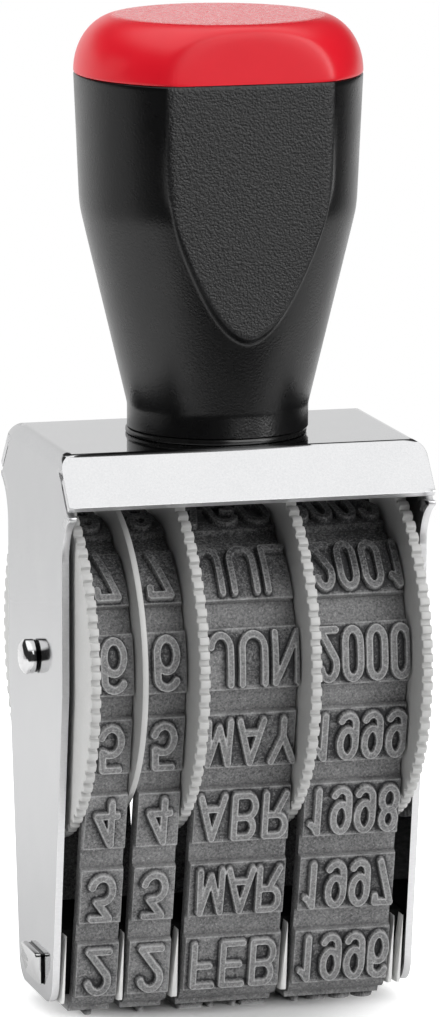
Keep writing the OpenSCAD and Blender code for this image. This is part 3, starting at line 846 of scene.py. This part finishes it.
# Place of a word on its pad: how far it sits to the right, and extra room between its letters
WORD_SET = {
    "MAR": (0.1, -0.3), "MAY": (0.25, -0.1), "JUN": (0.3, 0.0), "JUL": (0.12, 0.05),
    "1999": (0.15, 0.03), "2000": (0.27, 0.02), "2001": (0.62, 0.04),
}


def pen_offset(best, sign, width, pen, x, up):
    """Distance and offset, across and up, of each grid point from the nearest pen stroke of a character whose box is
    width wide, or the best so far where that is nearer."""
    for stroke in STROKES[sign]:
        pts = (stroke - (0.5, 0.5)) * (width - pen, TYPE_L - pen)
        for a, b in zip(pts[:-1], pts[1:]):
            d = b - a
            along = np.clip(((x - a[0]) * d[0] + (up - a[1]) * d[1]) / max(d @ d, 1e-9), 0, 1)
            off_x, off_up = x - a[0] - along * d[0], up - a[1] - along * d[1]
            found = np.hypot(off_x, off_up), off_x, off_up
            nearer = found[0] < best[0]
            best = tuple(np.where(nearer, *pair) for pair in zip(found, best))
    return best


def word_offset(word, sign_w, gap, pen, x, up):
    """Distance and offset of each grid point from the nearest pen stroke of a word set in the middle of its pad."""
    aside, room = WORD_SET.get(word, (0.0, 0.0))
    widths = [sign_w * SIGN_W.get(sign, 1.0) for sign in word]
    left = np.cumsum([0.0] + [w + gap + room for w in widths])
    left = left - (left[-1] - gap - room) / 2 + aside
    shape = np.broadcast(x, up).shape
    best = np.full(shape, FAR), np.zeros(shape), np.zeros(shape)
    for sign, wide, start in zip(word, widths, left):
        best = pen_offset(best, sign, wide, pen, x - (start + wide / 2), up)
    return best


def shade_between_strokes(top, reach):
    """How much each grid point off the strokes lies between two of them: from the number of stroke points within reach
    to its left and to its right, taken from running sums."""
    count = top.shape[1]
    total = np.cumsum(np.pad(top.astype(float), ((0, 0), (reach + 1, reach))), 1)
    left = total[:, reach:reach + count] - total[:, :count]
    right = total[:, 2 * reach + 1:] - total[:, reach + 1:reach + 1 + count]
    return (1 - np.exp(-left / 2)) * (1 - np.exp(-right / 2)) * ~top


def face_length(s):
    """Length along the bare band's outside from the middle of the flat to path place s: longer than the path where
    the band bends round the bridge's edge and round the drum."""
    d = np.abs(s)
    edge = np.clip(d - BRIDGE_HALF, 0, RUN_START - BRIDGE_HALF) * (BRIDGE_EDGE_R + BAND_T) / EDGE_MID_R
    drum = np.clip(d - RUN_END, 0, None) * (BAND_R + BAND_T) / MID_R
    return np.sign(s) * (np.minimum(d, BRIDGE_HALF) + edge + np.clip(d - RUN_START, 0, RUN_L) + drum)


def band_place(s, out):
    """(Y, Z) at path place s and distance out from the band's inside face: a flat under the bridge, a small
    round edge, a straight run and the arc over the drum, the front half of the loop at positive s."""
    d = np.abs(s)
    side = np.where(s < 0, 1.0, -1.0)
    turn = np.clip((d - BRIDGE_HALF) / EDGE_MID_R, 0, math.pi / 2 - LEAN)
    over = np.clip((d - RUN_END) / MID_R, 0, None)
    climb = np.clip(d - RUN_START, 0, RUN_L)
    normal_a = turn - math.pi / 2 + over
    ny, nz = np.cos(normal_a), np.sin(normal_a)
    low_y = np.minimum(d, BRIDGE_HALF) + climb * math.sin(LEAN)
    low_z = EDGE_Z + climb * math.cos(LEAN)
    on_drum = d > RUN_END
    base_y = np.where(on_drum, 0, low_y)
    base_z = np.where(on_drum, AXLE_Z, low_z)
    r = np.where(on_drum, BAND_R, BRIDGE_EDGE_R) + out
    return side * (base_y + r * ny), base_z + r * nz


def rubber_band(name, left_x, width, words, sign_w, gap, pen, step, bead_from=0.0):
    """Closed rubber band: a ring of places across times the path round the drum and bridge. The outside stands
    out by a pad on each row, by the pen strokes on the pad and by a round bead across the band's seam, behind the
    top of the drum; a character's head points back along the path.
    Grid points near the rim or the foot of a stroke are moved on to it, so that its wall is clean and steep."""
    path = np.linspace(-HALF_LOOP, HALF_LOOP, 4001)
    length = face_length(path)
    whole = length[-1]

    def wrapped(place):
        """A place along the outside, carried into the range from -whole to whole."""
        return (place + whole) % (2 * whole) - whole

    rows = np.arange(ROW_FIRST, ROW_LAST + 1)
    row_q = face_length(rows * ROW_L + ROW_SHIFT)
    next_q = np.append(row_q[1:], row_q[0] + 2 * whole)
    half_pad = PAD_L / 2
    fine = np.concatenate([[-half_pad - PAD_SLOPE], np.linspace(-half_pad, half_pad, 61), [half_pad + PAD_SLOPE]])
    between = [np.linspace(a + fine[-1], b + fine[0], 10)[1:-1] for a, b in zip(row_q, next_q)]
    q = np.sort(wrapped(np.concatenate([k for a, gaps in zip(row_q, between) for k in (a + fine, gaps)])))
    half_w = width / 2
    inner_x = np.linspace(-half_w + PAD_SLOPE, half_w - PAD_SLOPE, int(round(width / step)))
    x = np.concatenate([[-half_w], inner_x, [half_w]])
    at_side = np.abs(x) > half_w - PAD_SLOPE * 1.5
    beside = np.ones(len(x))
    beside[[0, -1]] = 0
    grid_x, grid_q = (k.copy() for k in np.broadcast_arrays(x, q[:, None]))
    rise = np.zeros(grid_x.shape)
    tone = np.full(grid_x.shape, BARE_TONE)
    rim, foot = pen / 2, pen / 2 + WALL
    for row, at in zip(rows, row_q):
        away = wrapped(q - at)
        near = np.abs(away) < half_pad + PAD_SLOPE * 2
        away = away[near][:, None]
        pad = (np.abs(away) < half_pad + 1e-6) * beside
        on_pad = pad > 0
        best, off_x, off_up = word_offset(words.get(int(row), ""), sign_w, gap, pen, x[None, :], -away)
        at_rim = on_pad & (np.abs(best - rim) < step * 0.5)
        at_foot = on_pad & (best > rim + step * 0.5) & (best < rim + step * 1.5)
        move = np.where(at_rim, rim - best, np.where(at_foot, foot - best, 0.0)) / np.maximum(best, 1e-6)
        move = np.where(at_side, 0.0, move)
        grid_x[near] += move * off_x
        grid_q[near] -= np.where(np.abs(away) < half_pad - 0.01, move * off_up, 0.0)
        top = (best < rim + step * 0.5) & on_pad
        rise[near] = PAD_H * pad + TYPE_H * top
        # Painted highlight: a paler line along the top edge of each stroke
        outline = np.exp(-(((best - rim + 0.02) / 0.055) ** 2)) * top
        # Painted shade: the pad darkens next to the foot of each stroke
        hollow = np.exp(-np.maximum(best - foot, 0) / 0.17) * ~top * on_pad
        # Painted highlight: paler rubber along the edges of each pad
        pad_edge_lit = on_pad & ((np.abs(away) > half_pad - 0.12) | at_side)
        tone[near] = BARE_TONE + PAD_TONE * pad + TOP_TONE * top + RIM_HIGHLIGHT_TONE * outline
        tone[near] += PAD_EDGE_HIGHLIGHT_TONE * pad_edge_lit * ~top + HOLLOW_SHADE_TONE * hollow
        # Painted shade: darker rubber between neighbouring strokes
        tone[near] += BETWEEN_SHADE_TONE * shade_between_strokes(top, int(1.3 / step))
    bead = np.exp(-(((q + whole - BEAD_BACK) / BEAD_W) ** 2))[:, None] * beside * (x > bead_from - half_w)
    rise = np.maximum(rise, BEAD_H * np.where(bead > 0.3, np.sqrt(bead), 0))
    # Painted shade: the rows grow darker under the lip, which shades them
    tone *= 1 - 0.7 * ease(RUN_END + 7.8, RUN_END + 11.2, np.abs(np.interp(q, length, path)))[:, None]
    s = np.interp(wrapped(grid_q), length, path)
    out = np.concatenate([np.zeros((len(q), 2)), BAND_T + rise], 1)
    side = np.full((len(q), 1), half_w)
    across = np.concatenate([side, -side, grid_x], 1) + left_x + half_w
    shade = np.concatenate([np.full((len(q), 2), INSIDE_TONE), tone], 1)
    y, z = band_place(np.concatenate([s[:, -1:], s[:, :1], s], 1), out)
    return shell(name, xyz(across, y, z), 40, shade, closed=True)


# Bridge
def bridge_steel():
    """Flat bar: a rounded rectangle carried along X through stations of place and size. Its two ends reach out of
    the cheeks at the top, are drawn back towards the bottom, and have a fine groove beside the cheek, painted black
    as contact shadow."""
    half_d, half_h, steps = BAR_D / 2, BAR_H / 2, 48
    a = np.radians(np.linspace(0, 360, steps, endpoint=False))
    y = np.sign(np.cos(a)) * np.abs(np.cos(a)) ** 0.12 * half_d
    z = np.sign(np.sin(a)) * np.abs(np.sin(a)) ** 0.12 * half_h
    face = OUTER_W / 2
    reach = TONGUE_OUT - 0.4 * ease(0.2, -1.0, z / half_h)
    # Place past the cheek as a share of the reach, extra length, shrink and tone of each station; a tone of 1 paints
    # the groove black as contact shadow
    stations = np.array(
        [(1, 0, 9, 0), (1, 0, 0.16, 0), (1, -0.05, 0.05, 0), (1, -0.14, 0, 0), (0, 0.2, 0, 0), (0, 0.15, 0.09, 1),
         (0, 0.02, 0.09, 1), (0, -0.05, 0, 0)]
    )
    share, extra, shrink, dark = (np.concatenate([k, k[::-1]])[:, None] for k in stations.T)
    side = np.repeat([-1.0, 1.0], len(stations))[:, None]
    x = side * (face + share * reach + extra)
    grow_y, grow_z = np.maximum(1 - shrink / half_d, 0), np.maximum(1 - shrink / half_h, 0)
    points = np.stack([x, y * grow_y, BAR_Z + half_h + z * grow_z], -1)
    points[[0, -1], :, 0] = points[[1, -2], :, 0].mean(1, keepdims=True)
    return shell("bridge_steel", points, 35, np.broadcast_to(dark, x.shape))


def bridge_block():
    """Block inside the bands, coloured near black as painted shade: the bands' inside outline up to a flat top,
    carried from cheek to cheek.
    """
    half_w = INNER_W / 2
    top_z = SHOE_Z + SHOE_H
    middle_z = (SHOE_Z + top_z) / 2
    run = np.linspace(-RUN_START - SHOE_H, -RUN_START, 6)
    s = np.concatenate([run, np.linspace(-RUN_START, -BRIDGE_HALF, 8)[1:]])
    s = np.concatenate([s, -s[::-1]])
    y, z = band_place(s, np.zeros(len(s)))
    x = np.array([-half_w, -half_w, half_w, half_w])[:, None]
    grow = np.array([0.0, 1.0, 1.0, 0.0])[:, None]
    height = middle_z + (np.minimum(z, top_z) - middle_z) * grow
    return shell("bridge_block", xyz(x, y * grow, height), 35)


def bridge_fins():
    """Thin upright blades between the bands. At each height a blade's section is a rounded box a little deeper than
    the bands' outside there and thinner the higher it is, so that it ends in a sharp tip."""
    low, high = SHOE_Z - FIN_DROP, SHOE_Z + FIN_H
    rows = np.linspace(0, 1, 16)
    z = low + (high - low) * rows
    out = BRIDGE_EDGE_R + BAND_T + FIN_OUT
    run_y = BRIDGE_HALF + out * math.cos(LEAN)
    run_z = EDGE_Z - out * math.sin(LEAN)
    corner = half_chord(out, z - EDGE_Z) + BRIDGE_HALF
    depth = np.where(z < run_z, corner, run_y + (z - run_z) * math.tan(LEAN))[:, None]
    around = np.radians(np.linspace(0, 360, 32, endpoint=False))
    box_x = np.sign(np.cos(around)) * np.abs(np.cos(around)) ** 0.5
    box_y = np.sign(np.sin(around)) * np.abs(np.sin(around)) ** 0.2
    rings = (len(rows) + 2, len(around))
    points, faces = [], []
    for k, (x, half) in enumerate(FIN_PLACES):
        thick = (half * (1 - rows**1.5) + 0.012)[:, None]
        blade = xyz(x + thick * box_x, depth * box_y, z[:, None])
        foot, tip = (np.broadcast_to((x, 0.0, h), (1, len(around), 3)) for h in (low, high))
        points.append(np.concatenate([foot, blade, tip]).reshape(-1, 3))
        faces.append(lattice_faces(*rings, ring_cols=True) + k * rings[0] * rings[1])
    return weld(lay_mesh("bridge_fins", np.concatenate(points), np.concatenate(faces)), 40)


# Light, floor and camera
def bare_wires(owner):
    """The emptied node tree of a world or a material."""
    owner.use_nodes = True
    owner.node_tree.nodes.clear()
    return Wires(owner.node_tree)


def studio():
    """White surroundings for the camera, which gloss and glass show too as far as the sheet and backdrop reach; the
    object is lit from above and behind, and sees a dim room in front."""
    world = bpy.data.worlds.new("studio")
    bpy.context.scene.world = world
    w = bare_wires(world)
    x, y, z = w.node("ShaderNodeSeparateXYZ", {0: w.node("ShaderNodeTexCoord").outputs["Generated"]}).outputs
    above = w.rise(z, 0.6, 0.85, 1.42)
    brim = w.minus(w.times(y, 0.42), w.times(w.larger(x, 0.0), 0.3))
    below = w.rise(w.minus(w.minus(brim, 0.05), z), -0.03, 0.07, 1.0)
    behind = w.plus(w.times(w.rise(y, -0.22, 0.06, 1.0), 0.4), w.rise(y, 0.4, 0.92, 0.6))
    sheet = w.times(below, behind)
    level = w.larger(w.larger(above, w.times(sheet, 0.9)), 0.035)
    rays = w.node("ShaderNodeLightPath").outputs
    mirrored = w.times(w.larger(rays["Is Glossy Ray"], rays["Is Transmission Ray"]), sheet)
    light, seen = (w.node("ShaderNodeBackground", {"Color": (1, 1, 1, 1), "Strength": k}) for k in (level, 1.0))
    surface = w.either(w.larger(rays["Is Camera Ray"], mirrored), light, seen)
    w.node("ShaderNodeOutputWorld", {"Surface": surface})


def pale_floor():
    """White floor that takes the shadow near the object, glows less close to it as painted shade round the foot, and
    fades into the surroundings further out; gloss sees it end a hand's width in front of the object."""
    span, count = 400.0, 41
    g = np.linspace(-span, span, count)
    obj = lay_mesh("floor", xyz(g[:, None], g, 0.0), lattice_faces(count, count))
    if obj.data.polygons[0].normal.z < 0:
        obj.data.flip_normals()
    mat = bpy.data.materials.new("pale_floor")
    w = bare_wires(mat)
    place = w.node("ShaderNodeTexCoord").outputs["Object"]
    far = w.node("ShaderNodeVectorMath", {0: place}, operation="LENGTH").outputs["Value"]
    depth = w.node("ShaderNodeSeparateXYZ", {0: place}).outputs["Y"]
    rays = w.node("ShaderNodeLightPath").outputs
    mirrored = w.larger(rays["Is Glossy Ray"], rays["Is Transmission Ray"])
    # Painted shade: the glow rises only from about 7 to 20 mm out for the camera and 12 to 30 mm for gloss, so the
    # floor is darker round the object's foot
    seen = w.times(rays["Is Camera Ray"], w.rise(far, 0.007, 0.02, 0.6))
    glare = w.larger(seen, w.times(mirrored, w.rise(far, 0.012, 0.03, 0.2)))
    card = w.node("ShaderNodeBsdfDiffuse", {"Color": (0.86, 0.86, 0.86, 1)})
    glow = w.node("ShaderNodeEmission", {"Strength": glare})
    both = w.node("ShaderNodeAddShader", {0: card.outputs[0], 1: glow.outputs[0]})
    in_front = w.times(w.rise(w.times(depth, -1.0), 0.045, 0.085, 1.0), mirrored)
    faded = w.larger(w.rise(far, 0.09, 0.24, 1.0), in_front)
    surface = w.either(faded, both, w.node("ShaderNodeBsdfTransparent"))
    w.node("ShaderNodeOutputMaterial", {"Surface": surface})
    obj.data.materials.append(mat)


def stand_at(obj, right, up, back, place):
    """Links an object into the scene at a place, with its own three axes along those directions."""
    bpy.context.scene.collection.objects.link(obj)
    rows = [[right[i], up[i], back[i], place[i]] for i in range(3)]
    obj.matrix_world = Matrix(rows + [[0, 0, 0, 1]])


def lamp(name, place, aim, size, power, glint=True):
    """Square soft lamp at a place, facing a point, both in metres; without glint, gloss doesn't show it."""
    data = bpy.data.lights.new(name, "AREA")
    data.size = size
    data.energy = power
    obj = bpy.data.objects.new(name, data)
    obj.visible_glossy = glint
    away = np.array(aim) - np.array(place)
    away = away / np.linalg.norm(away)
    side = np.cross(away, (0, 0, 1))
    side = side / np.linalg.norm(side)
    stand_at(obj, side, np.cross(side, away), -away, place)


def photo_camera():
    """Camera at the photograph's angle: turn, tilt and roll about a point on the stamp's axis."""
    turn, tilt, roll = math.radians(15.462), math.radians(10.28), math.radians(-0.122)
    distance, aim = 0.602764, np.array([0.000376, 0.0, 0.043124])
    look = np.array([math.sin(turn) * math.cos(tilt), math.cos(turn) * math.cos(tilt), -math.sin(tilt)])
    right = np.array([math.cos(turn), -math.sin(turn), 0.0])
    down = np.cross(look, right)
    right, down = math.cos(roll) * right + math.sin(roll) * down, math.cos(roll) * down - math.sin(roll) * right
    # The lens is that of a sensor as wide as a frame of picture_h pixels is tall
    sensor, picture_h, focal_px = 36, 1017, 7032.939
    data = bpy.data.cameras.new("camera")
    data.lens = focal_px * sensor / picture_h
    data.sensor_width = sensor
    data.clip_start, data.clip_end = 0.01, 50
    obj = bpy.data.objects.new("camera", data)
    stand_at(obj, right, -down, -look, aim - distance * look)
    bpy.context.scene.camera = obj


bpy.context.scene.view_settings.view_transform = "Standard"
photo_camera()
studio()
pale_floor()
lamp("window", (0.45, -0.83, 0.42), (0, 0, 0.04), 0.95, 9.5)
lamp("low_window", (0.78, -0.66, 0.06), (0, 0, 0.05), 0.3, 0.9)
lamp("side_window", (-0.93, 0.28, 0.3), (0, 0, 0.05), 0.35, 6.8, False)

nickel = bright_nickel()
pin_steel = turned_steel("pin_steel", 0.72)
bar_steel = turned_steel("bar_steel", 0.61)
zinc = turned_steel("zinc_fastener", 0.55)
black = grained_black()
ring_black = smooth_black()
red = cap_red()
wheel_white = pale_plastic("wheel_white", 0.48)
fin_white = pale_plastic("fin_white", 0.72)
shoe_painted_shade = shade_black()
rubber = type_rubber()

dress(bent_sheet(), nickel, "frame_steel", "stand", "frame").data.materials.append(cut_edge())
for make, finish, slot, node in (
    (handle_grip, black, "handle_black", "handle_body"),
    (handle_crown, red, "cap_red", "handle_cap"),
    (neck_collar, ring_black, "collar_black", "handle_collar"),
    (axle_pin, pin_steel, "axle_steel", "axle"),
    (bridge_steel, bar_steel, "bar_steel", "bridge_bar"),
    (bridge_block, shoe_painted_shade, "shoe_plastic", "bridge_shoe"),
    (bridge_fins, fin_white, "shoe_plastic", "bridge_shoe"),
):
    dress(make(), finish, slot, "stand", node)

digit_drum = DIGIT_BAND_W + SIDE_GAP
word_drum = WORD_BAND_W + SIDE_GAP
# Place of the rim and of the drum, width of the drum and thickness of the rim
for name, *sizes in (
    ("tens", TENS_WHEEL_X + TENS_RIM_IN, TENS_X, digit_drum, RIM_T - TENS_RIM_THIN),
    ("units", UNITS_WHEEL_X, UNITS_X + SIDE_GAP, digit_drum),
    ("month", MONTH_WHEEL_X, MONTH_X + SIDE_GAP, word_drum),
    ("year", YEAR_WHEEL_X, YEAR_X + SIDE_GAP, word_drum),
):
    wheel = thumb_wheel(name + "_thumbwheel", *sizes)
    dress(wheel, wheel_white, "wheel_plastic", name + "_dial", name + "_wheel")
dress(spacer_plate(), wheel_white, "wheel_plastic", "spacer", "spacer_disc")

digits = {row: str((row + 1) % 14)[-1] for row in range(-1, 8)} | {-6: "9"}
months = dict(zip([*range(0, 8), -4, -3, -2, -1], "ENE FEB MAR ABR MAY JUN JUL AGO SEP OCT NOV DIC".split()))
years = {row: str(1995 + row) for row in range(-1, 8)} | {-6: "2003", -5: "2004", -4: "2005"}
# Left side and width of the band, its words, width of a character, gap, pen, grid step and start of the bead
for name, left_x, *sizes in (
    ("tens", TENS_X, DIGIT_BAND_W, digits, 2.3, 0.28, 0.58, 0.08),
    ("units", UNITS_X, DIGIT_BAND_W, digits, 2.3, 0.28, 0.58, 0.08),
    ("month", MONTH_X, WORD_BAND_W, months, 2.45, 0.4, 0.52, 0.095, 0.75),
    ("year", YEAR_X, WORD_BAND_W, years, 1.9, 0.22, 0.56, 0.095),
):
    band = rubber_band(name + "_rubber", left_x + SIDE_GAP, *sizes)
    dress(band, rubber, "band_rubber", "stand", name + "_band")

for node in ("handle_screw", "screw_washer", "nut_washer", "handle_nut"):
    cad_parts[node].data.materials.clear()
    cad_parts[node].data.materials.append(zinc)
